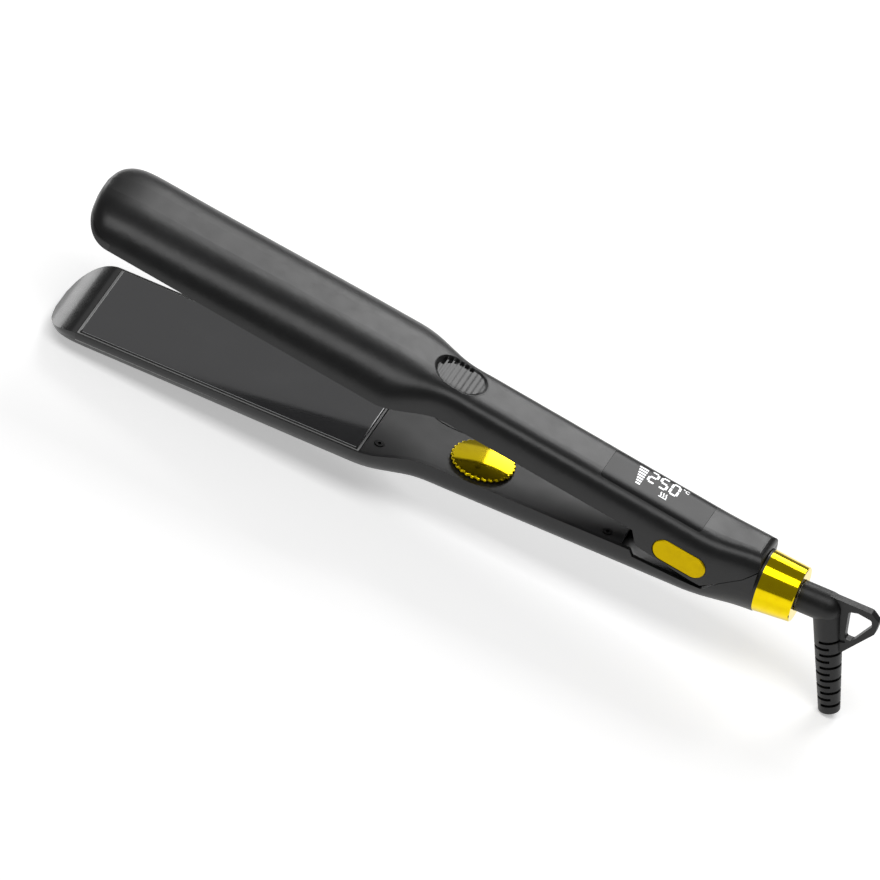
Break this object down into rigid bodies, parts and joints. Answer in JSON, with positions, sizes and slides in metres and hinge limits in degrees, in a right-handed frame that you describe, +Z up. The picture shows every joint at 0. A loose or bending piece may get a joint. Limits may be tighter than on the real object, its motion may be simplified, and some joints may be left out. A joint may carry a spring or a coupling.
{
  "type": "flat iron",
  "caption": "Wide-plate hair straightener with open hinged arms, floating plates, knurled dial, pill button, collar ring and swivelling ribbed cord boot.",
  "frame": {"origin": "centre of the footprint, on the table plane", "axes": "+X from the nose to the cord end, +Y across the arms, +Z up"},
  "size_m": [0.3302, 0.0488, 0.0645],
  "materials": {
    "satin_black": "satin",
    "gloss_black": "gloss",
    "cover_black": "fine matte",
    "plate_coating": "polished ceramic coating",
    "frame_grey": "brushed",
    "gold": "polished",
    "rubber_black": "matte",
    "smoked_window": "gloss",
    "ceramic": "matt ceramic",
    "steel": "brushed",
    "mica": "flaky sheet",
    "board_green": "solder mask",
    "copper": "drawn",
    "grey_plastic": "moulded",
    "white_plastic": "moulded"
  },
  "bodies": {
    "lower_arm": {"lower_shell": "satin_black", "lower_tip_cap": "gloss_black", "lower_inner_cover": "cover_black", "lower_cover_screws": "steel", "lower_plate_frame": "frame_grey", "lower_plate_springs": "steel", "dial_encoder": "grey_plastic", "dial_board": "board_green", "hinge_block": "grey_plastic", "hinge_pin": "steel", "hinge_clips": "steel", "hinge_spring": "steel", "collar_ring": "gold", "swivel_bush": "white_plastic", "brush_block": "grey_plastic"},
    "lower_heating_plate": {"lower_plate": "plate_coating", "lower_heater": "ceramic", "lower_insulation": "mica", "lower_heater_clamp": "steel", "lower_sensor": "white_plastic"},
    "temperature_dial": {"dial_knob": "gold", "dial_shaft": "steel"},
    "upper_arm": {"upper_shell": "satin_black", "upper_tip_cap": "gloss_black", "upper_inner_cover": "cover_black", "upper_cover_screws": "steel", "upper_plate_frame": "frame_grey", "upper_plate_springs": "steel", "display_window": "smoked_window", "vent_grille": "cover_black", "hinge_bracket": "steel", "control_board": "board_green", "display_module": "white_plastic", "thermal_fuse": "steel", "switch_board": "board_green", "tact_switch": "grey_plastic", "arm_bumpers": "rubber_black", "button_spring": "steel"},
    "upper_heating_plate": {"upper_plate": "plate_coating", "upper_heater": "ceramic", "upper_insulation": "mica", "upper_heater_clamp": "steel", "upper_sensor": "white_plastic"},
    "power_button": {"power_button": "gold"},
    "cord_swivel": {"swivel_barrel": "grey_plastic", "slip_rings": "copper", "cord_boot": "rubber_black"}
  },
  "joints": [
    {"name": "arm_hinge", "type": "hinge", "parent": "lower_arm", "child": "upper_arm", "pos_m": [0.10628, 0, 0.03911], "axis": [0, -1, 0], "range_deg": [0, 8.7], "stiffness_Nm_per_rad": 0.6, "springref_deg": -25.78, "deforming": ["hinge_spring"]},
    {"name": "lower_plate_float", "type": "slide", "parent": "lower_arm", "child": "lower_heating_plate", "axis": [0.105, 0, -0.9945], "range_m": [0, 0.0008], "stiffness_N_per_m": 1000, "springref_m": -0.0025, "deforming": ["lower_plate_springs"]},
    {"name": "upper_plate_float", "type": "slide", "parent": "upper_arm", "child": "upper_heating_plate", "axis": [0.0466, 0, 0.9989], "range_m": [0, 0.0008], "stiffness_N_per_m": 1000, "springref_m": -0.0025, "deforming": ["upper_plate_springs"]},
    {"name": "dial_turn", "type": "hinge", "parent": "lower_arm", "child": "temperature_dial", "pos_m": [0.00564, 0, 0.02848], "axis": [-0.105, 0, 0.9945], "continuous": true},
    {"name": "power_button_press", "type": "slide", "parent": "upper_arm", "child": "power_button", "axis": [0, 1, 0], "range_m": [0, 0.0008], "stiffness_N_per_m": 600, "springref_m": -0.0008, "deforming": ["button_spring"]},
    {"name": "cord_swivel_turn", "type": "hinge", "parent": "lower_arm", "child": "cord_swivel", "pos_m": [0.11941, 0, 0.0405], "axis": [0.9945, 0, 0.105], "continuous": true}
  ]
}
